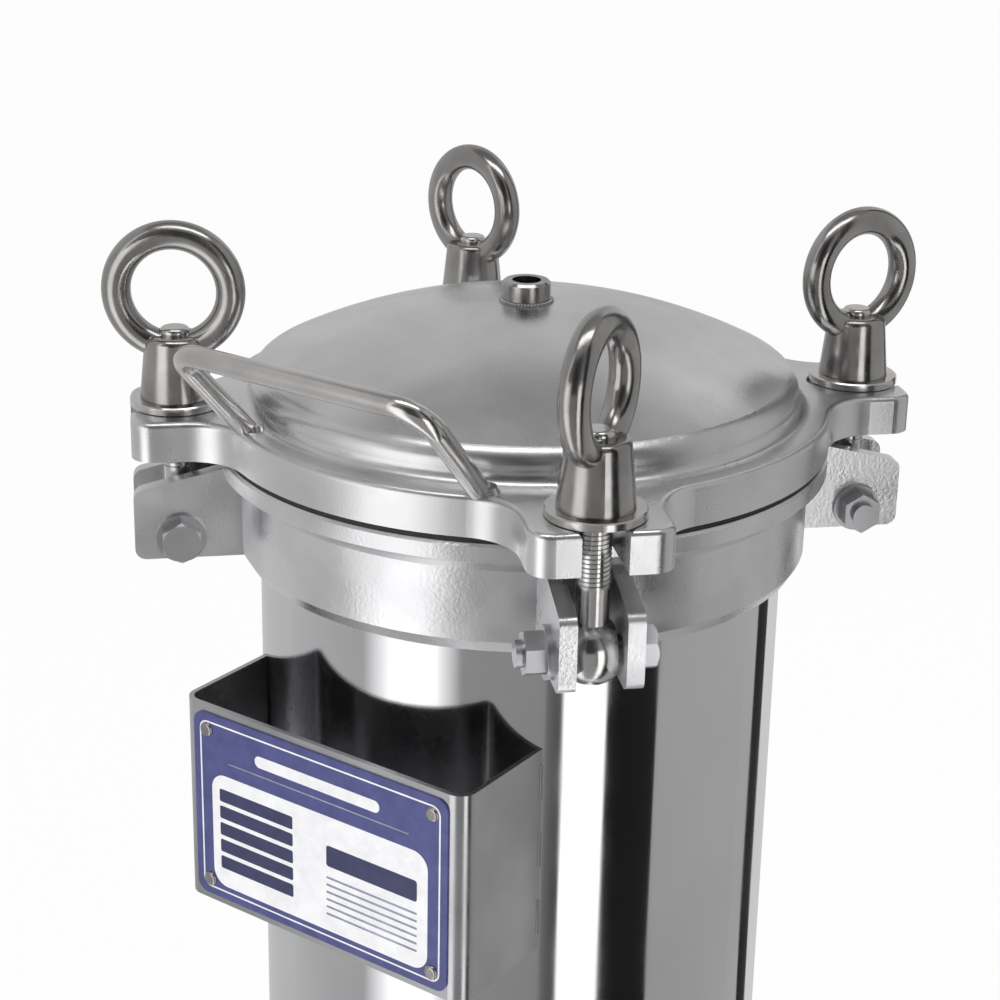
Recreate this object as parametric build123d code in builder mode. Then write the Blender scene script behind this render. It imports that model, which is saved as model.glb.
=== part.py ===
"""Single bag filter housing: domed cast lid held by four swing bolts with eye nuts, cast head ring,
rolled shell with dished bottom, threaded side inlet and bottom outlet, perforated basket and felt bag inside.
Millimetres, +Z up, origin on the floor under the vessel axis, -Y towards the nameplate."""

import os
from math import hypot, sqrt

from build123d import *

# ---------------------------------------------------------------- driving dimensions
lid_level = 760.0  # height of the lid lugs' top face above the floor

# vessel
shell_radius = 109.5
shell_wall = 3.0
shell_overlap = 18.0  # shell standing inside the head's socket
seat_drop = 166.0  # basket seat below the lid level
seat_thick = 6.0
dish_depth = 55.0
dish_wall = 3.0

# lid casting
flange_radius = shell_radius + 16.5
flange_thick = 16.0
dome_radius = shell_radius + 4.0
dome_rise = 39.0
dome_shoulder = 11.0  # height where the dome turns down into its skirt
dome_wall = 6.0
dome_knuckle = 9.0
dome_draft = 1.0
dome_root = 5.0  # fillet between dome and flange
spigot_radius = shell_radius - 10.5
spigot_depth = 9.0
spigot_wall = 6.0

# head casting
gasket_thick = 2.5
gasket_inset = 1.2
head_lip_radius = flange_radius
head_lip = 8.0
head_taper = 5.0
lip_chamfer = 1.0
band_radius = shell_radius + 9.0
band_drop = 60.0  # end of the straight band below the lid level
band_foot = 5.0  # chamfer under the band, its height and its depth
band_foot_depth = 3.0
head_bore = shell_radius - 8.5

# clamps: slotted lug, clevis ears, swing bolt, washer, eye nut
clamp_circle = flange_radius + 16.0
clamp_stations = {"front_left": -135.0, "front_right": -45.0, "back_right": 45.0, "back_left": 135.0}
ring_turns = {"front_left": 170.0, "front_right": 145.0, "back_right": 20.0, "back_left": 35.0}
lug_width = 53.0
lug_reach = 18.5  # lug end beyond the bolt axis
lug_corner = 9.0
lug_neck = 24.0
lug_edge = 2.5
slot_width = 17.0
slot_depth = 10.0  # slot floor's axis inside the bolt circle
ear_gap = 18.0
ear_thick = 6.5
ear_reach = 18.5
ear_top_drop = 30.0
ear_root_rise = 7.0
ear_shelf = 4.0
ear_bottom_drop = 61.0
ear_corner = 9.0
pin_drop = 52.0  # pin axis below the lid level
bolt_radius = 6.0
bolt_end = 32.0  # stud tip above the lid level
eye_radius = 12.8
eye_thick = 15.6
washer_radius = 18.5
washer_thick = 3.0
washer_chamfer = 0.5
boss_foot_radius = 14.4
boss_top_radius = 11.8
boss_height = 25.5
boss_round = 3.0
ring_height = 46.5  # eye ring's centre above the lid level
ring_radius = 22.7
ring_wire = 5.8

# hex pin bolts
pin_radius = 5.0
pin_head_flats = 15.0
pin_head_height = 6.0
pin_nut_height = 7.5
hex_chamfer = 0.8
pin_washer_radius = 10.0
pin_washer_thick = 2.0
pin_tail = 3.0

# fits
running_gap = 0.05
clear_gap = 0.3
nut_gap = 0.1

# lid handle
handle_wire = 4.25
handle_half = 58.0
handle_front = flange_radius + 19.0
handle_rise = 40.0
handle_foot_x = 56.0
handle_foot_radius = flange_radius - 6.0
handle_foot_y = sqrt(handle_foot_radius**2 - handle_foot_x**2)
handle_bend = 12.0
bead_size = 2.0

# vent coupling
vent_radius = 10.0
vent_bore = 5.9
vent_rise = 8.5
vent_depth = 4.0
vent_chamfer = 1.0

# nameplate on its U bracket
bracket_width = 140.0
bracket_front = shell_radius + 24.5
bracket_top_drop = 108.0
bracket_height = 87.0
bracket_wall = 2.0
bracket_bend = 7.0
plate_margin = 3.0
plate_thick = 0.8
plate_corner = 5.0
rivet_inset = 7.0
rivet_radius = 1.6
rivet_head = 3.0
rivet_dome = 1.2

# ports (2 inch threaded half couplings)
port_radius = 36.5
port_bore = 28.5
port_edge = 1.5
inlet_drop = 118.0
inlet_reach = shell_radius + 42.5
outlet_height = 104.0

# legs
leg_angles = (-90.0, 30.0, 150.0)
leg_circle = shell_radius + 10.5
leg_radius = 16.7
leg_wall = 2.6
leg_top_drop = 420.0
foot_inner = leg_circle - 22.0
foot_outer = leg_circle + 48.0
foot_width = 60.0
foot_thick = 8.0
foot_corner = 8.0
anchor_circle = leg_circle + 31.0
anchor_radius = 6.5

# basket and bag
rim_radius = head_bore - 1.5
rim_thick = 4.0
basket_radius = shell_radius - 21.5
basket_clear = 1.5  # basket to the seat ring round it
basket_lift = 1.0  # basket's underside above the dish's tangent line
basket_wall = 1.5
basket_length = 385.0
basket_base = 12.0
bail_wire = 3.0
bail_straight = 12.0
bail_inset = 3.3  # bail wire's axis inside the rim edge
bag_gap = 0.4
bag_wall = 1.8
bag_length = basket_length - 13.0
bag_round = 24.0
bag_collar = basket_radius + 4.5
bag_ring_width = 4.5
bag_ring_height = 5.0
bag_ring_round = 1.5

# ---------------------------------------------------------------- derived levels
flange_bottom = lid_level - flange_thick
head_top = flange_bottom - gasket_thick
head_bottom = lid_level - band_drop - band_foot
shell_top = head_bottom + shell_overlap
shell_bore = shell_radius - shell_wall
seat_level = lid_level - seat_drop
rim_top = seat_level + rim_thick
dish_level = rim_top - basket_length - basket_lift
inlet_level = lid_level - inlet_drop
pin_level = lid_level - pin_drop
washer_level = lid_level + clear_gap
nut_level = washer_level + washer_thick + nut_gap

os.makedirs("parts", exist_ok=True)


def save(shape, name):
    """Label one piece and write it under its node name."""
    shape.label = name
    export_step(shape, f"parts/{name}.step")


def all_around(shape):
    """Copies of a piece drawn on the +X side, one per clamp station."""
    return Compound(children=[shape.rotate(Axis.Z, angle) for angle in clamp_stations.values()])


# ---------------------------------------------------------------- lid casting
crown_edge = dome_radius - dome_draft
spigot_bore = spigot_radius - spigot_wall
crown_sag = dome_rise - dome_shoulder
crown_radius = (crown_edge**2 + crown_sag**2) / (2 * crown_sag)


def crown_height(radius, offset=0.0):
    """Level of the dome's crown at a radius, offset inwards for its inside face."""
    return lid_level + dome_rise - crown_radius + sqrt((crown_radius - offset) ** 2 - radius**2)


with BuildPart() as lid:
    # flange ring with four slotted lugs on filleted necks
    with BuildSketch(Plane.XY.offset(flange_bottom)):
        Circle(flange_radius)
        with PolarLocations(0, 4, start_angle=45):
            with Locations(((clamp_circle + lug_reach) / 2, 0)):
                Rectangle(clamp_circle + lug_reach, lug_width)
        lug_end = hypot(clamp_circle + lug_reach, lug_width / 2)
        fillet(vertices().filter_by(lambda v: abs(hypot(v.X, v.Y) - lug_end) < 0.1), lug_corner)
        fillet(vertices().filter_by(lambda v: abs(hypot(v.X, v.Y) - flange_radius) < 0.1), lug_neck)
    extrude(amount=flange_thick)
    slot_start = clamp_circle - slot_depth
    with PolarLocations(0, 4, start_angle=45):
        with Locations((slot_start, 0, flange_bottom)):
            Cylinder(
                slot_width / 2,
                flange_thick,
                align=(Align.CENTER, Align.CENTER, Align.MIN),
                mode=Mode.SUBTRACT,
            )
            Box(
                lug_reach + slot_depth + lug_corner,
                slot_width,
                flange_thick,
                align=(Align.MIN, Align.CENTER, Align.MIN),
                mode=Mode.SUBTRACT,
            )
    # rounded rim along the top outer edge of the lugs and flange
    top_rim = faces().sort_by(Axis.Z)[-1].outer_wire().edges()
    fillet(top_rim, lug_edge)
    # domed crown and locating spigot
    with BuildSketch(Plane.XZ):
        with BuildLine():
            edge_low = (dome_radius, lid_level - dome_root)
            edge_high = (crown_edge, lid_level + dome_shoulder)
            ThreePointArc(
                (0, crown_height(0)),
                (crown_edge / 2, crown_height(crown_edge / 2)),
                edge_high,
            )
            Polyline(
                edge_high,
                edge_low,
                (spigot_radius, lid_level - dome_root),
                (spigot_radius, flange_bottom - spigot_depth),
                (0, flange_bottom - spigot_depth),
                (0, crown_height(0)),
            )
        make_face()
        knuckle = vertices().sort_by(lambda v: hypot(v.X - crown_edge, v.Y - edge_high[1]))[0]
        fillet(knuckle, dome_knuckle)
    revolve(axis=Axis.Z)
    # hollow inside
    with BuildSketch(Plane.XZ):
        with BuildLine():
            inner_edge = (spigot_bore, crown_height(spigot_bore, dome_wall))
            ThreePointArc(
                (0, crown_height(0, dome_wall)),
                (spigot_bore / 2, crown_height(spigot_bore / 2, dome_wall)),
                inner_edge,
            )
            Polyline(
                inner_edge,
                (spigot_bore, flange_bottom - spigot_depth),
                (0, flange_bottom - spigot_depth),
                (0, crown_height(0, dome_wall)),
            )
        make_face()
    revolve(axis=Axis.Z, mode=Mode.SUBTRACT)
    # seat for the vent coupling
    with Locations((0, 0, lid_level + dome_rise)):
        Cylinder(vent_radius, 4 * dome_wall, mode=Mode.SUBTRACT)
    dome_foot = edges().filter_by(GeomType.CIRCLE).filter_by(
        lambda e: abs(e.radius - dome_radius) < 0.5 and abs(e.center().Z - lid_level) < 0.5
    )
    fillet(dome_foot, dome_root)
save(lid.part, "lid")

with BuildPart() as vent_coupling:
    with Locations((0, 0, lid_level + dome_rise + vent_rise)):
        Cylinder(
            vent_radius,
            vent_rise + dome_wall + vent_depth,
            align=(Align.CENTER, Align.CENTER, Align.MAX),
        )
    chamfer(edges().sort_by(Axis.Z)[-1], vent_chamfer)
    Cylinder(vent_bore, 4 * lid_level, mode=Mode.SUBTRACT)
save(vent_coupling.part, "vent_coupling")

# ---------------------------------------------------------------- lid handle
with BuildPart() as lid_handle:
    foot_point = Vector(handle_foot_x, -handle_foot_y, lid_level - bead_size)
    knee_point = Vector(handle_half, -handle_front, lid_level + handle_rise)
    with BuildLine() as handle_line:
        FilletPolyline(
            foot_point,
            knee_point,
            Vector(-knee_point.X, knee_point.Y, knee_point.Z),
            Vector(-foot_point.X, foot_point.Y, foot_point.Z),
            radius=handle_bend,
        )
    with BuildSketch(Plane(foot_point, z_dir=knee_point - foot_point)):
        Circle(handle_wire)
    sweep(path=handle_line.line)
    for side in (-1, 1):
        with Locations((side * handle_foot_x, -handle_foot_y, lid_level)):
            Cone(
                handle_wire + bead_size,
                handle_wire + bead_size / 3,
                bead_size,
                align=(Align.CENTER, Align.CENTER, Align.MIN),
            )
save(lid_handle.part - lid.part, "lid_handle")

# ---------------------------------------------------------------- head casting
with BuildPart() as lid_gasket:
    with BuildSketch(Plane.XY.offset(head_top)):
        Circle(flange_radius - gasket_inset)
        Circle(head_bore + 2 * gasket_inset, mode=Mode.SUBTRACT)
    extrude(amount=gasket_thick)
save(lid_gasket.part, "lid_gasket")

with BuildPart() as head_casting:
    with BuildSketch(Plane.XZ):
        with BuildLine():
            Polyline(
                (head_bore, head_top),
                (head_lip_radius - lip_chamfer, head_top),
                (head_lip_radius, head_top - lip_chamfer),
                (head_lip_radius, head_top - head_lip + lip_chamfer),
                (head_lip_radius - lip_chamfer, head_top - head_lip),
                (band_radius, head_top - head_lip - head_taper),
                (band_radius, head_bottom + band_foot),
                (band_radius - band_foot_depth, head_bottom),
                (shell_radius, head_bottom),
                (shell_radius, shell_top),
                (head_bore, shell_top),
                close=True,
            )
        make_face()
    revolve(axis=Axis.Z)
    # clevis ears either side of each swing bolt
    ear_root = (shell_radius + band_radius) / 2
    ear_tip = clamp_circle + ear_reach
    with BuildPart(mode=Mode.PRIVATE) as ear_pair:
        with BuildSketch(Plane.XZ):
            with BuildLine():
                Polyline(
                    (ear_root, lid_level - ear_bottom_drop),
                    (ear_root, lid_level - ear_top_drop + ear_root_rise),
                    (band_radius + ear_shelf, lid_level - ear_top_drop + ear_root_rise),
                    (ear_tip - ear_corner, lid_level - ear_top_drop),
                    (ear_tip, lid_level - ear_top_drop - ear_corner / 4),
                    (ear_tip, lid_level - ear_bottom_drop),
                    close=True,
                )
            make_face()
            fillet(vertices().sort_by(Axis.X)[-2:], ear_corner / 2)
            with Locations((clamp_circle, pin_level)):
                Circle(pin_radius + running_gap, mode=Mode.SUBTRACT)
        extrude(amount=ear_gap / 2 + ear_thick, both=True)
        Box(4 * clamp_circle, ear_gap, 4 * lid_level, mode=Mode.SUBTRACT)
    for angle in clamp_stations.values():
        add(ear_pair.part.rotate(Axis.Z, angle))
save(head_casting.part, "head_casting")

# ---------------------------------------------------------------- clamps, drawn on the +X side
with BuildPart() as swing_bolt:
    with Locations((clamp_circle, 0, pin_level)):
        Sphere(eye_radius)
        Box(4 * eye_radius, eye_thick, 4 * eye_radius, mode=Mode.INTERSECT)
        Cylinder(bolt_radius, pin_drop + bolt_end, align=(Align.CENTER, Align.CENTER, Align.MIN))
    fillet(edges().sort_by(Axis.Z)[-1], bolt_radius / 3)
    with Locations((clamp_circle, 0, pin_level)):
        Cylinder(pin_radius + running_gap, 2 * eye_thick, rotation=(90, 0, 0), mode=Mode.SUBTRACT)

with BuildPart() as washer:
    with Locations((clamp_circle, 0, washer_level)):
        Cylinder(washer_radius, washer_thick, align=(Align.CENTER, Align.CENTER, Align.MIN))
        chamfer(edges().group_by(Axis.Z)[-1], washer_chamfer)
        Cylinder(bolt_radius + clear_gap, 4 * washer_thick, mode=Mode.SUBTRACT)

eye_nuts = {}
for name, turn in ring_turns.items():
    with BuildPart() as eye_nut:
        with Locations((clamp_circle, 0, nut_level)):
            Cone(
                boss_foot_radius,
                boss_top_radius,
                boss_height,
                align=(Align.CENTER, Align.CENTER, Align.MIN),
            )
        fillet(edges().group_by(Axis.Z)[-1], boss_round)
        with Locations((clamp_circle, 0, lid_level + ring_height)):
            Torus(ring_radius, ring_wire, rotation=(90, turn, 0))
        with Locations((clamp_circle, 0, lid_level)):
            Cylinder(
                bolt_radius + running_gap,
                bolt_end + 2 * bolt_radius,
                align=(Align.CENTER, Align.CENTER, Align.MIN),
                mode=Mode.SUBTRACT,
            )
    eye_nuts[name] = eye_nut.part

for name, angle in clamp_stations.items():
    save(swing_bolt.part.rotate(Axis.Z, angle), f"swing_bolt_{name}")
    save(washer.part.rotate(Axis.Z, angle), f"washer_{name}")
    save(eye_nuts[name].rotate(Axis.Z, angle), f"eye_nut_{name}")

# hex pin bolts through the ears: head on one side, nut on the other, a washer under each
ear_face = ear_gap / 2 + ear_thick
hex_face = ear_face + pin_washer_thick
tangent = Plane((clamp_circle, 0, pin_level), z_dir=(0, 1, 0))
with BuildPart() as pin_bolt:
    with BuildSketch(tangent.offset(hex_face)):
        RegularPolygon(pin_head_flats / 2, 6, major_radius=False)
    extrude(amount=pin_head_height)
    with Locations(tangent.offset(hex_face)):
        Cone(
            pin_head_flats / 2 + pin_head_height,
            pin_head_flats / 2 - hex_chamfer / 2,
            pin_head_height + hex_chamfer / 2,
            align=(Align.CENTER, Align.CENTER, Align.MIN),
            mode=Mode.INTERSECT,
        )
    with BuildSketch(tangent.offset(hex_face)):
        Circle(pin_radius)
    extrude(amount=-2 * hex_face - pin_nut_height - pin_tail)
save(all_around(pin_bolt.part), "pin_bolts")

with BuildPart() as pin_nut:
    with BuildSketch(tangent.offset(-hex_face)):
        RegularPolygon(pin_head_flats / 2, 6, major_radius=False)
        Circle(pin_radius, mode=Mode.SUBTRACT)
    extrude(amount=-pin_nut_height)
save(all_around(pin_nut.part), "pin_nuts")

with BuildPart() as pin_washers:
    for start in (ear_face, -hex_face):
        with BuildSketch(tangent.offset(start)):
            Circle(pin_washer_radius)
            Circle(pin_radius, mode=Mode.SUBTRACT)
        extrude(amount=pin_washer_thick)
save(all_around(pin_washers.part), "pin_washers")

# ---------------------------------------------------------------- shell and dished bottom
with BuildPart() as shell:
    with BuildSketch(Plane.XY.offset(dish_level)):
        Circle(shell_radius)
        Circle(shell_bore, mode=Mode.SUBTRACT)
    extrude(amount=shell_top - dish_level)
    with Locations((0, shell_radius, inlet_level)):
        Cylinder(port_radius, 2 * port_radius, rotation=(90, 0, 0), mode=Mode.SUBTRACT)
save(shell.part, "shell")

dish_bore_depth = dish_depth - dish_wall
with BuildPart() as dish_void:
    with BuildSketch(Plane.XZ):
        with Locations((0, dish_level)):
            Ellipse(shell_bore, dish_bore_depth)
        with Locations((0, dish_level + dish_depth)):
            Rectangle(4 * shell_radius, 2 * dish_depth, mode=Mode.SUBTRACT)
        with Locations((-shell_radius, dish_level)):
            Rectangle(2 * shell_radius, 4 * dish_depth, mode=Mode.SUBTRACT)
    revolve(axis=Axis.Z)

with BuildPart() as bottom_dish:
    with BuildSketch(Plane.XZ):
        with Locations((0, dish_level)):
            Ellipse(shell_radius, dish_depth)
        with Locations((0, dish_level + dish_depth)):
            Rectangle(4 * shell_radius, 2 * dish_depth, mode=Mode.SUBTRACT)
        with Locations((-shell_radius, dish_level)):
            Rectangle(2 * shell_radius, 4 * dish_depth, mode=Mode.SUBTRACT)
    revolve(axis=Axis.Z)
    dish_solid = bottom_dish.part
    add(dish_void.part, mode=Mode.SUBTRACT)
    with Locations((0, 0, dish_level - dish_depth)):
        Cylinder(port_radius, 2 * dish_depth, mode=Mode.SUBTRACT)
save(bottom_dish.part, "bottom_dish")

with BuildPart() as seat_ring:
    seat_bore = basket_radius + basket_clear
    with BuildSketch(Plane.XY.offset(seat_level)):
        Circle(shell_bore)
        Circle(seat_bore, mode=Mode.SUBTRACT)
    extrude(amount=-seat_thick)
save(seat_ring.part, "seat_ring")

# ---------------------------------------------------------------- ports
inlet_plane = Plane((0, inlet_reach, inlet_level), x_dir=(1, 0, 0), z_dir=(0, -1, 0))
with BuildPart() as inlet_coupling:
    with BuildSketch(inlet_plane):
        Circle(port_radius)
    extrude(amount=inlet_reach - shell_bore / 2)
    chamfer(edges().filter_by(GeomType.CIRCLE).sort_by(Axis.Y)[-1], port_edge)
    with BuildSketch(inlet_plane):
        Circle(port_bore)
    extrude(amount=inlet_reach, mode=Mode.SUBTRACT)
    Cylinder(shell_bore, 4 * lid_level, mode=Mode.SUBTRACT)
save(inlet_coupling.part, "inlet_coupling")

with BuildPart() as outlet_coupling:
    with BuildSketch(Plane.XY.offset(outlet_height)):
        Circle(port_radius)
    extrude(amount=dish_level - outlet_height - dish_wall)
    chamfer(edges().filter_by(GeomType.CIRCLE).sort_by(Axis.Z)[0], port_edge)
    with BuildSketch(Plane.XY.offset(outlet_height)):
        Circle(port_bore)
    extrude(amount=dish_level, mode=Mode.SUBTRACT)
    add(dish_void.part, mode=Mode.SUBTRACT)
save(outlet_coupling.part, "outlet_coupling")

# ---------------------------------------------------------------- legs and feet
leg_top = lid_level - leg_top_drop
with BuildPart() as leg:
    with BuildSketch(Plane.XY.offset(foot_thick)):
        with Locations((leg_circle, 0)):
            Circle(leg_radius)
            Circle(leg_radius - leg_wall, mode=Mode.SUBTRACT)
    extrude(amount=leg_top - foot_thick)
    with BuildSketch(Plane.XY.offset(leg_top)):
        with Locations((leg_circle, 0)):
            Circle(leg_radius)
    extrude(amount=leg_wall)
    with Locations((0, 0, dish_level)):
        Cylinder(
            shell_radius,
            leg_top,
            align=(Align.CENTER, Align.CENTER, Align.MIN),
            mode=Mode.SUBTRACT,
        )
    add(dish_solid, mode=Mode.SUBTRACT)

with BuildPart() as foot:
    with BuildSketch():
        with Locations(((foot_inner + foot_outer) / 2, 0)):
            RectangleRounded(foot_outer - foot_inner, foot_width, foot_corner)
        with Locations((anchor_circle, 0)):
            Circle(anchor_radius, mode=Mode.SUBTRACT)
    extrude(amount=foot_thick)

for number, angle in enumerate(leg_angles, start=1):
    save(leg.part.rotate(Axis.Z, angle), f"leg_{number}")
    save(foot.part.rotate(Axis.Z, angle), f"foot_{number}")

# ---------------------------------------------------------------- nameplate on its bracket
bracket_top = lid_level - bracket_top_drop
bracket_low = bracket_top - bracket_height
with BuildPart() as nameplate_bracket:
    with BuildSketch(Plane.XY.offset(bracket_low)):
        RectangleRounded(bracket_width, 2 * bracket_front, bracket_bend)
        RectangleRounded(
            bracket_width - 2 * bracket_wall,
            2 * (bracket_front - bracket_wall),
            bracket_bend - bracket_wall,
            mode=Mode.SUBTRACT,
        )
        Circle(shell_radius, mode=Mode.SUBTRACT)
        with Locations((0, bracket_front)):
            Rectangle(2 * bracket_width, 2 * bracket_front, mode=Mode.SUBTRACT)
    extrude(amount=bracket_height)

plate_plane = Plane(
    (0, -bracket_front, bracket_top - bracket_height / 2), x_dir=(1, 0, 0), z_dir=(0, -1, 0)
)
plate_size = (bracket_width - 2 * bracket_bend, bracket_height - 2 * plate_margin)
rivet_span = (plate_size[0] - 2 * rivet_inset, plate_size[1] - 2 * rivet_inset)
with BuildPart() as nameplate:
    with BuildSketch(plate_plane):
        RectangleRounded(*plate_size, plate_corner)
        with GridLocations(*rivet_span, 2, 2):
            Circle(rivet_radius, mode=Mode.SUBTRACT)
    extrude(amount=plate_thick)
save(nameplate.part, "nameplate")

with BuildPart() as rivets:
    with BuildSketch(plate_plane.offset(-bracket_wall)):
        with GridLocations(*rivet_span, 2, 2):
            Circle(rivet_radius)
    extrude(amount=bracket_wall + plate_thick)
    with BuildSketch(plate_plane.offset(plate_thick)):
        with GridLocations(*rivet_span, 2, 2):
            Circle(rivet_head)
    extrude(amount=rivet_dome)
    fillet(edges().group_by(Axis.Y)[0], rivet_dome * 0.9)
save(rivets.part, "nameplate_rivets")
save(nameplate_bracket.part - rivets.part, "nameplate_bracket")

# ---------------------------------------------------------------- basket and filter bag
basket_bore = basket_radius - basket_wall
with BuildPart() as basket:
    for inset, mode in ((0, Mode.ADD), (basket_wall, Mode.SUBTRACT)):
        with BuildSketch(Plane.XZ):
            with BuildLine():
                Polyline(
                    (0, rim_top - basket_length + inset),
                    (basket_radius - inset, rim_top - basket_length + inset),
                    (basket_radius - inset, rim_top),
                    (0, rim_top),
                    close=True,
                )
            make_face()
            low = vertices().filter_by(lambda v: v.X > 1).sort_by(Axis.Y)[0]
            fillet(low, basket_base - inset)
        revolve(axis=Axis.Z, mode=mode)
save(basket.part, "basket")

with BuildPart() as basket_rim:
    with BuildSketch(Plane.XY.offset(seat_level)):
        Circle(rim_radius)
        Circle(basket_radius, mode=Mode.SUBTRACT)
    extrude(amount=rim_thick)
save(basket_rim.part, "basket_rim")

bail_half = rim_radius - bail_inset
with BuildPart() as basket_bail:
    bail_base = Vector(bail_half, 0, rim_top)
    with BuildLine() as bail_line:
        up = Line(bail_base, bail_base + Vector(0, 0, bail_straight))
        arch = ThreePointArc(
            up @ 1,
            Vector(0, 0, rim_top + bail_straight + bail_half),
            Vector(-bail_half, 0, rim_top + bail_straight),
        )
        Line(arch @ 1, Vector(-bail_half, 0, rim_top))
    with BuildSketch(Plane(bail_base, z_dir=(0, 0, 1))):
        Circle(bail_wire)
    sweep(path=bail_line.line)
save(basket_bail.part, "basket_bail")

bag_radius = basket_bore - bag_gap
with BuildPart() as filter_bag:
    for inset, mode in ((0, Mode.ADD), (bag_wall, Mode.SUBTRACT)):
        with BuildSketch(Plane.XZ):
            with BuildLine():
                Polyline(
                    (0, rim_top - bag_length + inset),
                    (bag_radius - inset, rim_top - bag_length + inset),
                    (bag_radius - inset, rim_top + bag_wall),
                    (0, rim_top + bag_wall),
                    close=True,
                )
            make_face()
            low = vertices().filter_by(lambda v: v.X > 1).sort_by(Axis.Y)[0]
            fillet(low, bag_round - inset)
        revolve(axis=Axis.Z, mode=mode)
    with BuildSketch(Plane.XY.offset(rim_top)):
        Circle(bag_collar)
        Circle(bag_radius - bag_wall / 2, mode=Mode.SUBTRACT)
    extrude(amount=bag_wall)
save(filter_bag.part, "filter_bag")

with BuildPart() as bag_ring:
    with BuildSketch(Plane.XY.offset(rim_top + bag_wall)):
        Circle(bag_collar)
        Circle(bag_collar - bag_ring_width, mode=Mode.SUBTRACT)
    extrude(amount=bag_ring_height)
    fillet(edges().group_by(Axis.Z)[-1], bag_ring_round)
save(bag_ring.part, "bag_ring")
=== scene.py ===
import math

import bmesh
import bpy
from mathutils import Euler, Matrix, Vector


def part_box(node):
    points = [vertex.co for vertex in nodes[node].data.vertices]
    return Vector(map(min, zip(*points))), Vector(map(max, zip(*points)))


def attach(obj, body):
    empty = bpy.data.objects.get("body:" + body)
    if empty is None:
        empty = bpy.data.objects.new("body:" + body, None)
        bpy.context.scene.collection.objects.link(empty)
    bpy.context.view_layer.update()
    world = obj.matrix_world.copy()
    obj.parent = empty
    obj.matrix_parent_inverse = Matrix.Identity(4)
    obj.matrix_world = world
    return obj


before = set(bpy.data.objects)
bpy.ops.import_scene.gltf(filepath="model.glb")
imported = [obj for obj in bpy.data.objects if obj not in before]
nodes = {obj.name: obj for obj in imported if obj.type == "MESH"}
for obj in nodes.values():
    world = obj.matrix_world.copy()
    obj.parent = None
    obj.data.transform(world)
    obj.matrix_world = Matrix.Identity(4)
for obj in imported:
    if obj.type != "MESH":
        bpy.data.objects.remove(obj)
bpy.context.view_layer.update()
print("frame loaded:", len(nodes), "nodes")

mm = 0.001

# places read from the frame, in metres
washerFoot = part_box("washer_front_left")[0]
lidTop = washerFoot.z - 0.3 * mm  # the lug face under the washers
shellLow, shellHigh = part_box("shell")
shellRadius = shellHigh.x
plateLow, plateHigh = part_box("nameplate")
bracketLow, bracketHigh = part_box("nameplate_bracket")
clampNames = ["front_left", "front_right", "back_right", "back_left"]

camera = {
    "azimuth": 34.44,
    "distance": 0.8185,
    "height": 0.2629,  # above the lid's lugs
    "pitch": 18.07,
    "roll": 1.29,
    "lens": 74.7,
    "shiftX": -0.024,
    "shiftY": -0.1,
}


def makeCamera():
    data = bpy.data.cameras.new("studioCamera")
    data.lens = camera["lens"]
    data.sensor_width = 36
    data.shift_x = camera["shiftX"]
    data.shift_y = camera["shiftY"]
    data.clip_start = 0.01
    data.clip_end = 50
    obj = bpy.data.objects.new("studioCamera", data)
    bpy.context.scene.collection.objects.link(obj)
    turn = math.radians(camera["azimuth"])
    obj.location = (
        math.sin(turn) * camera["distance"],
        -math.cos(turn) * camera["distance"],
        lidTop + camera["height"],
    )
    level = Euler((math.radians(90 - camera["pitch"]), 0, turn)).to_matrix()
    obj.rotation_euler = (level @ Matrix.Rotation(math.radians(camera["roll"]), 3, "Z")).to_euler()
    bpy.context.scene.camera = obj
    bpy.context.scene.view_settings.view_transform = "Standard"


makeCamera()
print("camera placed")


# nodes and colours


def hexColour(text):
    # sRGB hex to the linear values that Blender's sockets take
    parts = [int(text[i : i + 2], 16) / 255 for i in (1, 3, 5)]
    linear = [p / 12.92 if p <= 0.04045 else ((p + 0.055) / 1.055) ** 2.4 for p in parts]
    return (*linear, 1)


def addNode(tree, kind, links=None, values=None, **settings):
    # adds one node, sets its properties and inputs, and links its inputs to other nodes' outputs
    node = tree.nodes.new(kind)
    for name, value in settings.items():
        setattr(node, name, value)
    for key, value in (values or {}).items():
        node.inputs[key].default_value = value
    for key, source in (links or {}).items():
        tree.links.new(source, node.inputs[key])
    return node


def startMaterial(name, **values):
    # a Principled material with its fixed numbers set on the shader's own sockets
    material = bpy.data.materials.new(name)
    material.use_nodes = True
    tree = material.node_tree
    tree.nodes.clear()
    shader = addNode(tree, "ShaderNodeBsdfPrincipled")
    for key, value in values.items():
        shader.inputs[key.replace("_", " ")].default_value = value
    addNode(tree, "ShaderNodeOutputMaterial", {"Surface": shader.outputs["BSDF"]})
    coords = addNode(tree, "ShaderNodeTexCoord")
    return material, tree, shader, coords.outputs["Object"]


def perMetre(sizeMm):
    # Noise scale whose features are about this many millimetres across
    return 1 / (sizeMm * mm)


def noiseRamp(tree, coords, sizeMm, low, high, detail=3.0, stretch=(1, 1, 1), at=(0.35, 0.65)):
    # noise at a real size, mapped to a range of colours; returns the noise and the colour
    placed = addNode(tree, "ShaderNodeMapping", {"Vector": coords}, {"Scale": stretch})
    noise = addNode(
        tree,
        "ShaderNodeTexNoise",
        {"Vector": placed.outputs[0]},
        {"Scale": perMetre(sizeMm), "Detail": detail},
    )
    ramp = addNode(tree, "ShaderNodeValToRGB", {"Fac": noise.outputs["Fac"]})
    ramp.color_ramp.elements[0].position = at[0]
    ramp.color_ramp.elements[1].position = at[1]
    ramp.color_ramp.elements[0].color = low
    ramp.color_ramp.elements[1].color = high
    return noise.outputs["Fac"], ramp.outputs["Color"]


def grey(level):
    return (level, level, level, 1)


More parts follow.
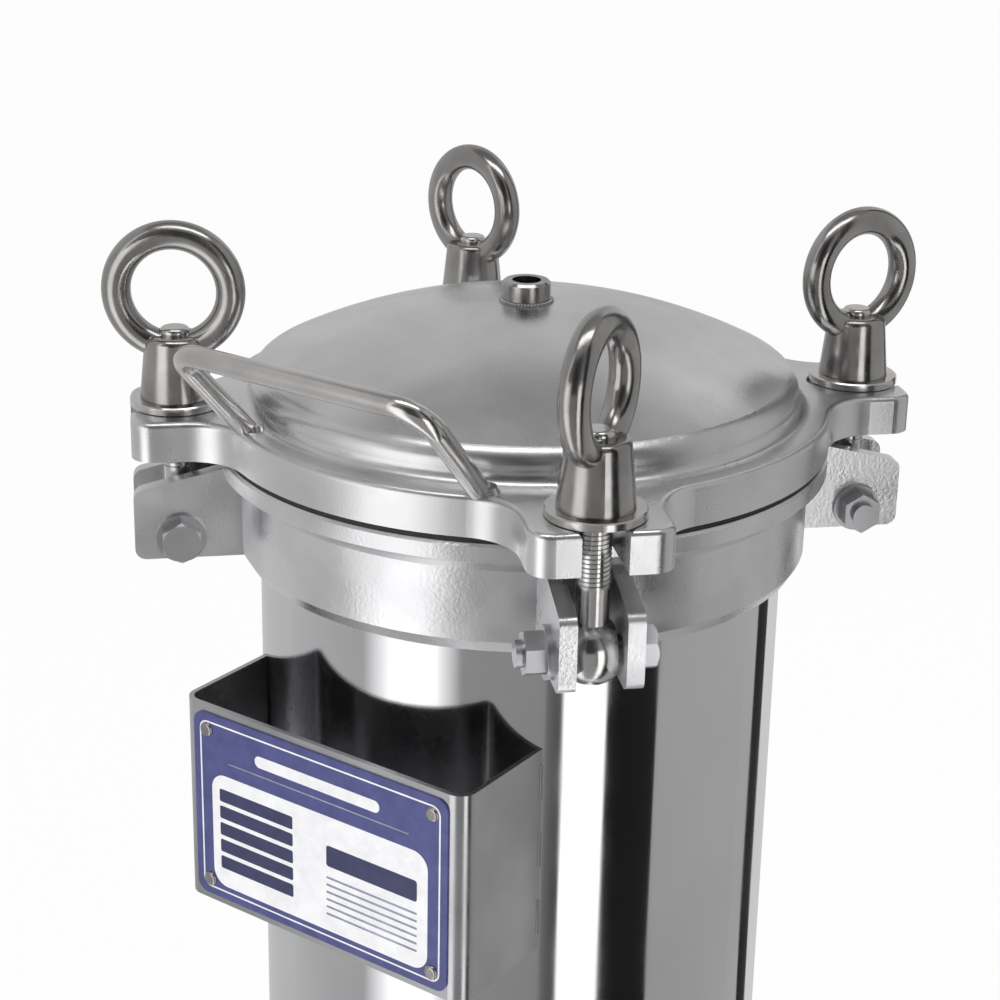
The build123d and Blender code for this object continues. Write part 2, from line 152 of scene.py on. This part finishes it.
def addBump(tree, shader, height, strength, depthMm, normal=None):
    links = {"Height": height}
    if normal is not None:
        links["Normal"] = normal
    bump = addNode(
        tree, "ShaderNodeBump", links, {"Strength": strength, "Distance": depthMm * mm}
    )
    tree.links.new(bump.outputs["Normal"], shader.inputs["Normal"])
    return bump.outputs["Normal"]


def metalFinish(name, tint, rough, grainMm, grainDepth, cloudMm=40, stretch=(1, 1, 1), turned=0.0):
    # metal with cloudy tone, uneven roughness and a surface grain
    material, tree, shader, coords = startMaterial(name, Metallic=1.0, Anisotropic=turned)
    _, colour = noiseRamp(tree, coords, cloudMm, hexColour(tint[0]), hexColour(tint[1]))
    tree.links.new(colour, shader.inputs["Base Color"])
    _, level = noiseRamp(tree, coords, cloudMm * 0.6, grey(rough[0]), grey(rough[1]))
    tree.links.new(level, shader.inputs["Roughness"])
    grain, _ = noiseRamp(tree, coords, grainMm, grey(0), grey(1), 4.0, stretch)
    addBump(tree, shader, grain, 0.5, grainDepth)
    if turned:
        ring = addNode(tree, "ShaderNodeTangent", direction_type="RADIAL", axis="Z")
        tree.links.new(ring.outputs[0], shader.inputs["Tangent"])
    return material


def blastedCast():
    # investment-cast stainless, bead blasted and brushed round: broad soft highlights.
    # The real grain is about 0.2 mm, too fine to show, so it is drawn at 0.8 mm.
    return metalFinish(
        "blastedCastSteel", ("#CFCFD0", "#DCDCDD"), (0.25, 0.33), 0.8, 0.08, turned=0.3
    )


def pickledCast():
    # cast and acid-pickled ring: whiter, with a slight orange-peel skin
    return metalFinish("pickledCastSteel", ("#D0D0D2", "#E0E0E1"), (0.24, 0.36), 1.4, 0.16)


def mirrorSheet():
    # 304 sheet buffed to a mirror: nearly black and white reflections with faint upright buff lines
    return metalFinish(
        "mirrorBuffedSteel", ("#CDCDCF", "#D6D6D8"), (0.06, 0.10), 0.8, 0.004, 120, (1, 1, 0.02)
    )


def brushedSheet():
    # No. 4 brushed sheet: long level scratches along the fold
    return metalFinish(
        "brushedSheetSteel", ("#A8A8AA", "#BEBEC0"), (0.20, 0.32), 0.5, 0.02, 60, (0.03, 0.03, 1)
    )


def polishedForging():
    # drop-forged and tumbled eye nuts and bolts: rounded gloss with faint hammer clouds
    return metalFinish("polishedForgedSteel", ("#989694", "#ADABA9"), (0.15, 0.24), 2.0, 0.05, 18)


def satinRod():
    # bright drawn rod, bent and lightly polished: soft streaks along its length
    return metalFinish("drawnRodSteel", ("#C6C4C2", "#D5D3D1"), (0.16, 0.24), 1.2, 0.03, 22)


def satinPipe():
    # satin-ground pipe and flange steel: even grey with turned rings
    return metalFinish("satinPipeSteel", ("#B3B3B5", "#C5C5C7"), (0.28, 0.38), 0.6, 0.03, 50)


def blackRubber():
    # moulded EPDM: matte black with a dusty bloom
    material, tree, shader, coords = startMaterial("mouldedRubber", Roughness=0.62)
    grain, colour = noiseRamp(tree, coords, 4, hexColour("#0D0D0E"), hexColour("#1C1C1D"))
    tree.links.new(colour, shader.inputs["Base Color"])
    addBump(tree, shader, grain, 0.3, 0.05)
    return material


def printed(name, low, high, rough=0.34):
    # screen-printed enamel on aluminium: flat ink with a slight orange peel under a clear coat
    material, tree, shader, coords = startMaterial(name, Roughness=rough, Coat_Weight=0.3)
    shader.inputs["Coat Roughness"].default_value = 0.15
    grain, colour = noiseRamp(tree, coords, 6, hexColour(low), hexColour(high))
    tree.links.new(colour, shader.inputs["Base Color"])
    fine, _ = noiseRamp(tree, coords, 0.9, grey(0), grey(1))
    addBump(tree, shader, fine, 0.25, 0.02)
    return material


def needleFelt():
    # polyester needle felt: fuzzy; real fibres are hairs, drawn as matted tufts of 1.2 mm to show
    material, tree, shader, coords = startMaterial("needleFelt", Roughness=0.92, Sheen_Weight=0.3)
    fibre, colour = noiseRamp(tree, coords, 1.2, hexColour("#CFCABC"), hexColour("#EDEAE0"), 6.0)
    tree.links.new(colour, shader.inputs["Base Color"])
    addBump(tree, shader, fibre, 0.8, 0.5)
    return material


def perforatedSheet():
    # stainless sheet with rows of punched holes, 3 mm in a 5 mm pitch; the holes are not cut but
    # painted as dark discs of painted shade
    material, tree, shader, coords = startMaterial("perforatedSteel", Metallic=1.0, Roughness=0.3)
    cells = addNode(
        tree,
        "ShaderNodeTexVoronoi",
        {"Vector": coords},
        {"Scale": perMetre(5), "Randomness": 0.0},
    )
    ramp = addNode(tree, "ShaderNodeValToRGB", {"Fac": cells.outputs["Distance"]})
    ramp.color_ramp.elements[0].position = 0.3
    ramp.color_ramp.elements[1].position = 0.34
    # the near-black inside each hole is painted shade, for the darkness seen through the opening
    ramp.color_ramp.elements[0].color = hexColour("#1A1A1A")
    ramp.color_ramp.elements[1].color = hexColour("#B8B6B3")
    tree.links.new(ramp.outputs["Color"], shader.inputs["Base Color"])
    addBump(tree, shader, ramp.outputs["Color"], 0.5, 0.4)
    return material


finishes = {
    "cast": blastedCast(),
    "ring": pickledCast(),
    "mirror": mirrorSheet(),
    "sheet": brushedSheet(),
    "forging": polishedForging(),
    "rod": satinRod(),
    "pipe": satinPipe(),
    "rubber": blackRubber(),
    "blue": printed("blueEnamel", "#3C4078", "#474B84"),
    "white": printed("whiteInk", "#E9E9EC", "#F4F4F6"),
    "ink": printed("darkBlueInk", "#23264F", "#2C2F5C"),
    "rule": printed("greyInk", "#8C90A8", "#A0A3B8"),
    "felt": needleFelt(),
    "holes": perforatedSheet(),
}

nodeFinish = {
    "lid": "cast",
    "lid_handle": "rod",
    "vent_coupling": "forging",
    "lid_gasket": "rubber",
    "head_casting": "ring",
    "shell": "mirror",
    "bottom_dish": "mirror",
    "nameplate_bracket": "sheet",
    "nameplate": "blue",
    "nameplate_rivets": "forging",
    "basket": "holes",
    "filter_bag": "felt",
    "bag_ring": "forging",
    "basket_bail": "forging",
    "pin_bolts": "pipe",
    "pin_nuts": "pipe",
    "pin_washers": "pipe",
}
for name, obj in nodes.items():
    if name.startswith("eye_nut"):
        key = "forging"
    elif name.startswith(("swing_bolt", "washer")):
        key = "rod"
    else:
        key = nodeFinish.get(name, "pipe")
    obj.data.materials.clear()
    obj.data.materials.append(finishes[key])
print("finishes on the CAD nodes")


# Geometry Nodes trees


def startTree(name, inputs):
    # a tree with a geometry input and output and named number inputs
    tree = bpy.data.node_groups.new(name, "GeometryNodeTree")
    tree.interface.new_socket("Geometry", in_out="INPUT", socket_type="NodeSocketGeometry")
    for label, (kind, value) in inputs.items():
        socket = tree.interface.new_socket(label, in_out="INPUT", socket_type=kind)
        socket.default_value = value
    tree.interface.new_socket("Geometry", in_out="OUTPUT", socket_type="NodeSocketGeometry")
    return tree, addNode(tree, "NodeGroupInput")


def endTree(tree, geometry, material):
    smooth = addNode(tree, "GeometryNodeSetShadeSmooth", {"Geometry": geometry})
    realized = addNode(tree, "GeometryNodeRealizeInstances", {"Geometry": smooth.outputs[0]})
    painted = addNode(tree, "GeometryNodeSetMaterial", {"Geometry": realized.outputs[0]})
    painted.inputs["Material"].default_value = material
    addNode(tree, "NodeGroupOutput", {"Geometry": painted.outputs[0]})


def bake(name, source, tree, values, material):
    # runs the tree on a source object and keeps the result as a plain mesh object at the origin
    modifier = source.modifiers.new("tree", "NODES")
    modifier.node_group = tree
    for item in tree.interface.items_tree:
        if item.in_out == "INPUT" and item.name in values:
            modifier[item.identifier] = values[item.name]
    bpy.context.view_layer.update()
    graph = bpy.context.evaluated_depsgraph_get()
    mesh = bpy.data.meshes.new_from_object(source.evaluated_get(graph), depsgraph=graph)
    source.modifiers.remove(modifier)
    bpy.data.objects.remove(source)
    obj = bpy.data.objects.new(name, mesh)
    bpy.context.scene.collection.objects.link(obj)
    if not mesh.materials:
        mesh.materials.append(material)
    return obj


def curveObject(name, lines, closed):
    # a helper curve with one straight-cornered spline for each list of points
    data = bpy.data.curves.new(name, "CURVE")
    data.dimensions = "3D"
    for points in lines:
        spline = data.splines.new("POLY")
        spline.points.add(len(points) - 1)
        for spot, point in zip(spline.points, points):
            spot.co = (*point, 1)
        spline.use_cyclic_u = closed
    obj = bpy.data.objects.new(name, data)
    bpy.context.scene.collection.objects.link(obj)
    return obj


def emptyMesh(name):
    obj = bpy.data.objects.new(name, bpy.data.meshes.new(name))
    bpy.context.scene.collection.objects.link(obj)
    return obj


# weld beads: overlapping ripples along each seam

# bead radius along each seam and the step between ripples, millimetres
weld = {
    "pitch": 1.3,
    "port": 2.4,
    "vent": 1.1,
    "leg": 1.8,
    "bracket": 1.3,
    "stitchLength": 14.0,
    "stitchStarts": (0.08, 0.42, 0.76),  # shares of the bracket's height
}


def weldTree():
    tree, given = startTree(
        "weldRipples",
        {"Bead": ("NodeSocketFloat", 0.0015), "Pitch": ("NodeSocketFloat", 0.0013)},
    )
    spaced = addNode(
        tree,
        "GeometryNodeResampleCurve",
        {"Curve": given.outputs["Geometry"], "Length": given.outputs["Pitch"]},
        mode="LENGTH",
    )
    drop = addNode(
        tree,
        "GeometryNodeMeshIcoSphere",
        {"Radius": given.outputs["Bead"]},
        {"Subdivisions": 2},
    )
    tangent = addNode(tree, "GeometryNodeInputTangent")
    turned = addNode(
        tree, "FunctionNodeAlignRotationToVector", {"Vector": tangent.outputs[0]}, axis="Z"
    )
    placed = addNode(
        tree,
        "GeometryNodeInstanceOnPoints",
        {
            "Points": spaced.outputs[0],
            "Instance": drop.outputs["Mesh"],
            "Rotation": turned.outputs[0],
        },
        {"Scale": (1, 1, 0.75)},
    )
    endTree(tree, placed.outputs[0], finishes["forging"])
    return tree


weldRipples = weldTree()


def weldAlong(name, lines, closed, bead):
    values = {"Bead": bead * mm, "Pitch": weld["pitch"] * mm}
    path = curveObject(name + "Path", lines, closed)
    obj = bake(name, path, weldRipples, values, finishes["forging"])
    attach(obj, "housing")
    return obj


def ringPoints(radius, centre, count=96):
    # a level ring of points
    turns = [2 * math.pi * i / count for i in range(count)]
    return [
        (centre[0] + radius * math.cos(t), centre[1] + radius * math.sin(t), centre[2])
        for t in turns
    ]


def saddlePoints(pipe, shell, level, count=96):
    # where a level pipe along +Y meets the upright shell
    points = []
    for i in range(count):
        t = 2 * math.pi * i / count
        x = pipe * math.cos(t)
        points.append((x, math.sqrt(shell**2 - x**2), level + pipe * math.sin(t)))
    return points


inletLow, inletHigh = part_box("inlet_coupling")
portRadius = inletHigh.x
inletLevel = (inletLow.z + inletHigh.z) / 2
ventLow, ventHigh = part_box("vent_coupling")
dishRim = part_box("bottom_dish")[1].z
dishDepth = 55 * mm  # crown depth of the half-ellipse dish
dishFall = dishDepth * math.sqrt(1 - (portRadius / shellRadius) ** 2)
domeTop = ventLow.z + 10 * mm
weldAlong("inletWeld", [saddlePoints(portRadius + mm, shellRadius, inletLevel)], True, weld["port"])
ventRing = ringPoints(ventHigh.x + 0.3 * mm, (0, 0, domeTop), 48)
weldAlong("ventWeld", [ventRing], True, weld["vent"])
outletRing = ringPoints(portRadius + mm, (0, 0, dishRim - dishFall))
weldAlong("outletWeld", [outletRing], True, weld["port"])

# each leg is a tube coped to the shell: its seams run where the two round walls cross
legTurns = {"leg_1": -90, "leg_2": 30, "leg_3": 150}
frontLegLow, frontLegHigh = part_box("leg_1")
legRadius = frontLegHigh.x
legCircle = -frontLegLow.y - legRadius
crossing = (shellRadius**2 + legCircle**2 - legRadius**2) / (2 * shellRadius * legCircle)
spread = math.acos(crossing)
legSeams = []
for name, degrees in legTurns.items():
    low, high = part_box(name)
    for side in (-1, 1):
        turn = math.radians(degrees) + side * spread
        x = (shellRadius + 0.2 * mm) * math.cos(turn)
        y = (shellRadius + 0.2 * mm) * math.sin(turn)
        legSeams.append([(x, y, shellLow.z + 2 * mm), (x, y, high.z - 2 * mm)])
weldAlong("legWelds", legSeams, False, weld["leg"])

bracketSeams = []
seamX = bracketHigh.x - 0.6 * mm
seamY = -math.sqrt(shellRadius**2 - seamX**2)
for side in (-1, 1):
    for start in weld["stitchStarts"]:
        base = bracketLow.z + start * (bracketHigh.z - bracketLow.z)
        top = base + weld["stitchLength"] * mm
        bracketSeams.append([(side * seamX, seamY, base), (side * seamX, seamY, top)])
weldAlong("bracketWelds", bracketSeams, False, weld["bracket"])
print("weld beads laid")


# rolled threads on the exposed part of each swing bolt

thread = {"pitch": 1.75, "radius": 6.0, "height": 0.26, "start": -27.0, "end": -1.0}  # millimetres


def threadTree():
    tree, given = startTree(
        "boltThread",
        {
            "Radius": ("NodeSocketFloat", 0.006),
            "Ridge": ("NodeSocketFloat", 0.0003),
            "Length": ("NodeSocketFloat", 0.037),
            "Turns": ("NodeSocketFloat", 21.0),
            "Place": ("NodeSocketVector", (0, 0, 0)),
        },
    )
    helix = addNode(
        tree,
        "GeometryNodeCurveSpiral",
        {
            "Rotations": given.outputs["Turns"],
            "Start Radius": given.outputs["Radius"],
            "End Radius": given.outputs["Radius"],
            "Height": given.outputs["Length"],
        },
        {"Resolution": 32, "Reverse": True},
    )
    edge = addNode(
        tree,
        "GeometryNodeCurvePrimitiveCircle",
        {"Radius": given.outputs["Ridge"]},
        {"Resolution": 6},
    )
    ridge = addNode(
        tree,
        "GeometryNodeCurveToMesh",
        {"Curve": helix.outputs[0], "Profile Curve": edge.outputs[0]},
        {"Fill Caps": True},
    )
    moved = addNode(
        tree,
        "GeometryNodeTransform",
        {"Geometry": ridge.outputs[0], "Translation": given.outputs["Place"]},
    )
    endTree(tree, moved.outputs[0], finishes["forging"])
    return tree


boltThread = threadTree()
for name in clampNames:
    low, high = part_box(f"washer_{name}")
    centre = (low + high) / 2
    length = (thread["end"] - thread["start"]) * mm
    values = {
        "Radius": thread["radius"] * mm,
        "Ridge": thread["height"] * mm,
        "Length": length,
        "Turns": length / (thread["pitch"] * mm),
        "Place": (centre.x, centre.y, lidTop + thread["start"] * mm),
    }
    seed = emptyMesh(f"threadSeed_{name}")
    ridge = bake(f"thread_{name}", seed, boltThread, values, finishes["forging"])
    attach(ridge, f"bolt_{name}")
print("threads cut")


# nameplate print: generic panels and ruled lines, no lettering

plate = {
    "ink": 0.06,  # print thickness, millimetres
    "outline": 0.7,
    "inset": 3.2,
    "panel": (108.0, 50.0),
    "panelCorner": 7.0,
    "panelDrop": 9.5,
    "outlineCorner": 4.0,
    "fieldX": -31,
    "fieldSize": (38, 5.6, 0.8),  # width, height, corner
    "fieldRows": (6.5, -1.0, -8.5, -16.0, -23.5),
    "block": (27, -1.5, 44, 9.0, 1.2),  # x, height on the plate, width, height, corner
    "band": (0, 27.5, 62, 5.0, 2.4),
}
plateFace = plateLow.y
plateMid = (plateLow.z + plateHigh.z) / 2
plateWide = plateHigh.x - plateLow.x
plateTall = plateHigh.z - plateLow.z


def roundedOutline(width, height, corner, steps=8):
    # points round a rectangle with rounded corners, anticlockwise from the right
    points = []
    for cx, cy, first in ((1, 1, 0), (-1, 1, 90), (-1, -1, 180), (1, -1, 270)):
        for i in range(steps + 1):
            turn = math.radians(first + 90 * i / steps)
            x = cx * (width / 2 - corner) + corner * math.cos(turn)
            y = cy * (height / 2 - corner) + corner * math.sin(turn)
            points.append((x, y))
    return points


def patchRing(bm, outline, x, y, z):
    # the outline's points placed on the plate, x and z in millimetres from its middle
    return [bm.verts.new((x * mm + px, y, plateMid + z * mm + pz)) for px, pz in outline]


def printPatch(name, x, z, width, height, corner, layer, finish, hole=None):
    # a thin patch of ink on the plate's face; hole leaves a frame of that width
    bm = bmesh.new()
    front = plateFace - layer * plate["ink"] * mm
    back = front + plate["ink"] * mm
    outer = roundedOutline(width * mm, height * mm, corner * mm)
    rings = []
    for y in (front, back):
        rings.append(patchRing(bm, outer, x, y, z))
    count = len(outer)
    if hole:
        inner = roundedOutline(
            (width - 2 * hole) * mm, (height - 2 * hole) * mm, (corner - hole) * mm
        )
        for y in (front, back):
            rings.append(patchRing(bm, inner, x, y, z))
        for i in range(count):
            j = (i + 1) % count
            bm.faces.new((rings[0][i], rings[0][j], rings[2][j], rings[2][i]))
            bm.faces.new((rings[1][j], rings[1][i], rings[3][i], rings[3][j]))
            bm.faces.new((rings[0][j], rings[0][i], rings[1][i], rings[1][j]))
            bm.faces.new((rings[2][i], rings[2][j], rings[3][j], rings[3][i]))
    else:
        bm.faces.new(rings[0])
        bm.faces.new(list(reversed(rings[1])))
        for i in range(count):
            j = (i + 1) % count
            bm.faces.new((rings[0][j], rings[0][i], rings[1][i], rings[1][j]))
    bmesh.ops.recalc_face_normals(bm, faces=bm.faces)
    mesh = bpy.data.meshes.new(name)
    bm.to_mesh(mesh)
    bm.free()
    mesh.materials.append(finishes[finish])
    obj = bpy.data.objects.new(name, mesh)
    bpy.context.scene.collection.objects.link(obj)
    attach(obj, "housing")
    return obj


printPatch(
    "plateOutline",
    0,
    0,
    plateWide / mm - 2 * plate["inset"],
    plateTall / mm - 2 * plate["inset"],
    plate["outlineCorner"],
    1,
    "white",
    hole=plate["outline"],
)
panelWide, panelTall = plate["panel"]
printPatch(
    "platePanel",
    0,
    -plate["panelDrop"],
    panelWide,
    panelTall,
    plate["panelCorner"],
    1,
    "white",
)
for index, row in enumerate(plate["fieldRows"]):
    printPatch(f"plateField{index}", plate["fieldX"], row, *plate["fieldSize"], 2, "ink")
printPatch("plateBlock", *plate["block"], 2, "ink")
printPatch("plateBand", *plate["band"], 1, "white")
print("nameplate printed")


# ruled lines in the panel


def ruleTree():
    tree, given = startTree(
        "ruledLines",
        {
            "Count": ("NodeSocketInt", 5),
            "Step": ("NodeSocketVector", (0, 0, -0.003)),
            "First": ("NodeSocketVector", (0, 0, 0)),
            "Size": ("NodeSocketVector", (0.04, 0.0001, 0.0005)),
        },
    )
    row = addNode(
        tree,
        "GeometryNodeMeshLine",
        {
            "Count": given.outputs["Count"],
            "Start Location": given.outputs["First"],
            "Offset": given.outputs["Step"],
        },
    )
    bar = addNode(tree, "GeometryNodeMeshCube", {"Size": given.outputs["Size"]})
    placed = addNode(
        tree,
        "GeometryNodeInstanceOnPoints",
        {"Points": row.outputs[0], "Instance": bar.outputs["Mesh"]},
    )
    endTree(tree, placed.outputs[0], finishes["rule"])
    return tree


ruledLines = ruleTree()
rules = {
    "rightRules": {"x": 27, "z": -11, "wide": 44, "step": 3.2, "count": 6, "tall": 0.9},
    "headRules": {"x": 0, "z": 21.5, "wide": 90, "step": 2.6, "count": 1, "tall": 0.6},
}
for name, rule in rules.items():
    ink = plate["ink"] * mm
    values = {
        "Count": rule["count"],
        "Step": (0, 0, -rule["step"] * mm),
        "First": (rule["x"] * mm, plateFace - 1.5 * ink, plateMid + rule["z"] * mm),
        "Size": (rule["wide"] * mm, ink, rule["tall"] * mm),
    }
    lines = bake(name, emptyMesh(name + "Seed"), ruledLines, values, finishes["rule"])
    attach(lines, "housing")
print("rules drawn")


# studio

studio = {
    "floorSize": 8.0,
    "floorGlow": 0.92,
    "skyLevel": 0.8,
    "ceiling": 1.95,
    "ceilingLevels": (0.26, 0.40),
}

# softboxes: turn round the object, distance, height over the lid, size, radiance
softboxes = {
    "leftStrip": (-9, 1.55, 0.45, (0.42, 1.5), 2.6),
    "rightStrip": (62, 1.55, 0.60, (0.44, 1.3), 2.6),
    "frontTop": (36, 0.24, 1.1, (1.1, 0.30), 3.0),
    "backHair": (205, 1.6, 0.95, (0.8, 0.6), 1.2),
}

# cards that only reflections see: first and last turn, low and high edge, brightness at each end
cards = {
    "cardRimLight": (-190, -152, 0, 1.95, 0.80, 0.52),
    "cardLeft": (-152, -78, 0, 1.95, 0.58, 0.64),
    "cardLeftNear": (-78, -32, 0, 1.95, 0.62, 0.50),
    "cardLeftSoft": (-32, -20, 0, 1.95, 0.50, 1.50),
    "stripLeft": (-20, 2, 0, 1.05, 1.60, 1.60),
    "stripLeftTop": (-20, 12, 1.05, 1.95, 0.30, 0.05),
    "cardMiddleSoft": (2, 12, 0, 1.05, 1.40, 0.36),
    "cardMiddle": (12, 46, 0, 0.85, 0.36, 0.32),
    "cardMiddleDark": (46, 53, 0, 0.85, 0.20, 0.04),
    "cardFrontHigh": (12, 53, 0.85, 1.95, 0.05, 0.03),
    "stripRight": (53, 71, 0, 0.95, 1.80, 1.80),
    "stripRightTop": (53, 71, 0.95, 1.95, 0.10, 0.30),
    "cardRight": (71, 94, 0, 1.95, 0.01, 0.02),
    "cardFarRight": (94, 158, 0, 1.95, 0.46, 0.50),
    "cardRim": (158, 170, 0, 1.95, 0.02, 0.05),
}


def seenRays(tree):
    # one for the rays of the camera, of reflections and of glass, which all see the white studio
    rays = addNode(tree, "ShaderNodeLightPath")
    straight = addNode(
        tree,
        "ShaderNodeMath",
        {0: rays.outputs["Is Camera Ray"], 1: rays.outputs["Is Glossy Ray"]},
        operation="ADD",
        use_clamp=True,
    )
    every = addNode(
        tree,
        "ShaderNodeMath",
        {0: straight.outputs[0], 1: rays.outputs["Is Transmission Ray"]},
        operation="ADD",
        use_clamp=True,
    )
    return every.outputs[0]


def makeStage():
    floorMaterial = bpy.data.materials.new("paperSweep")
    floorMaterial.use_nodes = True
    tree = floorMaterial.node_tree
    tree.nodes.clear()
    paper = addNode(tree, "ShaderNodeBsdfDiffuse", values={"Color": hexColour("#F4F4F4")})
    glow = addNode(tree, "ShaderNodeEmission", values={"Strength": 1.0})
    share = addNode(
        tree,
        "ShaderNodeMath",
        {0: seenRays(tree)},
        {1: studio["floorGlow"]},  # the rest stays lit paper, which keeps the shadow
        operation="MULTIPLY",
    )
    mixed = addNode(
        tree,
        "ShaderNodeMixShader",
        {"Fac": share.outputs[0], 1: paper.outputs[0], 2: glow.outputs[0]},
    )
    addNode(tree, "ShaderNodeOutputMaterial", {"Surface": mixed.outputs[0]})
    bm = bmesh.new()
    bmesh.ops.create_grid(bm, x_segments=1, y_segments=1, size=studio["floorSize"])
    mesh = bpy.data.meshes.new("floor")
    bm.to_mesh(mesh)
    bm.free()
    mesh.materials.append(floorMaterial)
    floor = bpy.data.objects.new("floor", mesh)
    floor.location.z = -0.5 * mm
    bpy.context.scene.collection.objects.link(floor)


def makeWorld():
    world = bpy.data.worlds.new("studioWorld")
    bpy.context.scene.world = world
    world.use_nodes = True
    tree = world.node_tree
    tree.nodes.clear()
    white = addNode(tree, "ShaderNodeBackground", values={"Strength": 1.0})
    plain = addNode(tree, "ShaderNodeBackground", values={"Strength": studio["skyLevel"]})
    for shade in (plain, white):
        shade.inputs["Color"].default_value = hexColour("#FFFFFF")
    mixed = addNode(
        tree,
        "ShaderNodeMixShader",
        {"Fac": seenRays(tree), 1: plain.outputs[0], 2: white.outputs[0]},
    )
    addNode(tree, "ShaderNodeOutputWorld", {"Surface": mixed.outputs[0]})


def aimAt(obj, target):
    obj.rotation_euler = (Vector(target) - obj.location).to_track_quat("-Z", "Y").to_euler()


def softbox(name, turn, reach, rise, size, radiance):
    # a rectangular area lamp turned to the lid; its power follows from its size and radiance
    data = bpy.data.lights.new(name, "AREA")
    data.shape = "RECTANGLE"
    data.size, data.size_y = size
    data.energy = radiance * math.pi * size[0] * size[1]
    obj = bpy.data.objects.new(name, data)
    angle = math.radians(turn)
    obj.location = (math.sin(angle) * reach, -math.cos(angle) * reach, lidTop + rise)
    obj.visible_camera = False
    bpy.context.scene.collection.objects.link(obj)
    aimAt(obj, (0, 0, lidTop - 0.05))


def cardMaterial(name, start, stop):
    # a shade of grey that runs from one end of the card to the other
    material = bpy.data.materials.new(name + "Card")
    material.use_nodes = True
    tree = material.node_tree
    tree.nodes.clear()
    coords = addNode(tree, "ShaderNodeTexCoord")
    parts = addNode(tree, "ShaderNodeSeparateXYZ", {"Vector": coords.outputs["UV"]})
    level = addNode(
        tree, "ShaderNodeMapRange", {"Value": parts.outputs["X"]}, {3: start, 4: stop}
    )
    cloth = addNode(tree, "ShaderNodeEmission", {"Strength": level.outputs[0]})
    addNode(tree, "ShaderNodeOutputMaterial", {"Surface": cloth.outputs[0]})
    return material


def stageCard(name, corners, faces, spans, material):
    mesh = bpy.data.meshes.new(name)
    mesh.from_pydata(corners, [], faces)
    layer = mesh.uv_layers.new(name="UVMap")
    for loop in mesh.loops:
        layer.data[loop.index].uv = (spans[loop.vertex_index], 0.5)
    mesh.materials.append(material)
    obj = bpy.data.objects.new(name, mesh)
    bpy.context.scene.collection.objects.link(obj)
    obj.visible_camera = False
    obj.visible_diffuse = False
    obj.visible_shadow = False
    obj.visible_transmission = False


def greyCard(name, first, last, low, high, start, stop, reach=0.95, inner=0.2, steps=12):
    # a curved card, as a studio hangs round polished metal; one that stands also lies on the floor
    rows = [(reach, low), (reach, high)]
    if low == 0:
        rows = [(inner, 4 * mm), (reach, 4 * mm), (reach, high)]
    corners = []
    spans = []
    for i in range(steps + 1):
        angle = math.radians(first + (last - first) * i / steps)
        for away, level in rows:
            corners.append((math.sin(angle) * away, -math.cos(angle) * away, level))
            spans.append(i / steps)
    faces = []
    deep = len(rows)
    for i in range(steps):
        for j in range(deep - 1):
            k = deep * i + j
            faces.append((k, k + deep, k + deep + 1, k + 1))
    stageCard(name, corners, faces, spans, cardMaterial(name, start, stop))


def ceilingCard(size=1.6):
    # grey cloth overhead, which keeps the domed lid from going white
    square = ((-1, -1), (1, -1), (1, 1), (-1, 1))
    corners = [(x * size, y * size, studio["ceiling"]) for x, y in square]
    material = cardMaterial("ceiling", *studio["ceilingLevels"])
    stageCard("ceiling", corners, [(0, 1, 2, 3)], [0, 1, 1, 0], material)


makeStage()
makeWorld()
for name, given in softboxes.items():
    softbox(name, *given)
for name, given in cards.items():
    greyCard(name, *given)
ceilingCard()
print("studio lit")
